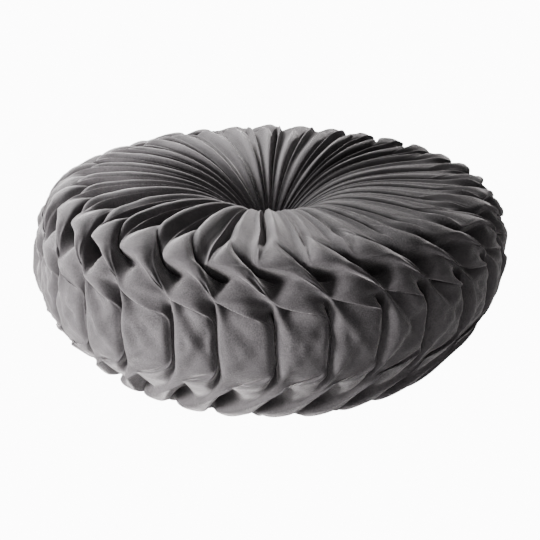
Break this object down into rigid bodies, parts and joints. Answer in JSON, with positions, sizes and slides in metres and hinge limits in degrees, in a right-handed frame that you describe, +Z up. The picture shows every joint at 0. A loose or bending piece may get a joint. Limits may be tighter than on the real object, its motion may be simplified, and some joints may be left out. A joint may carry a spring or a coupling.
{
  "type": "round smocked floor cushion",
  "caption": "Round filled floor cushion in smocked velvet: pleats gathered into a dip on top, a plait of slanting folds round the side, flat foot below.",
  "frame": {"origin": "middle of the base, on the surface that the cushion lies on", "axes": "+Z up through the gathered middles of the top and the underside, -Y towards the front, +X to the right"},
  "size_m": [0.3996, 0.3996, 0.15],
  "materials": {
    "velvet": "short velvet pile, soft sheen"
  },
  "bodies": {
    "root": {"smocked_cushion": "velvet"}
  },
  "joints": []
}
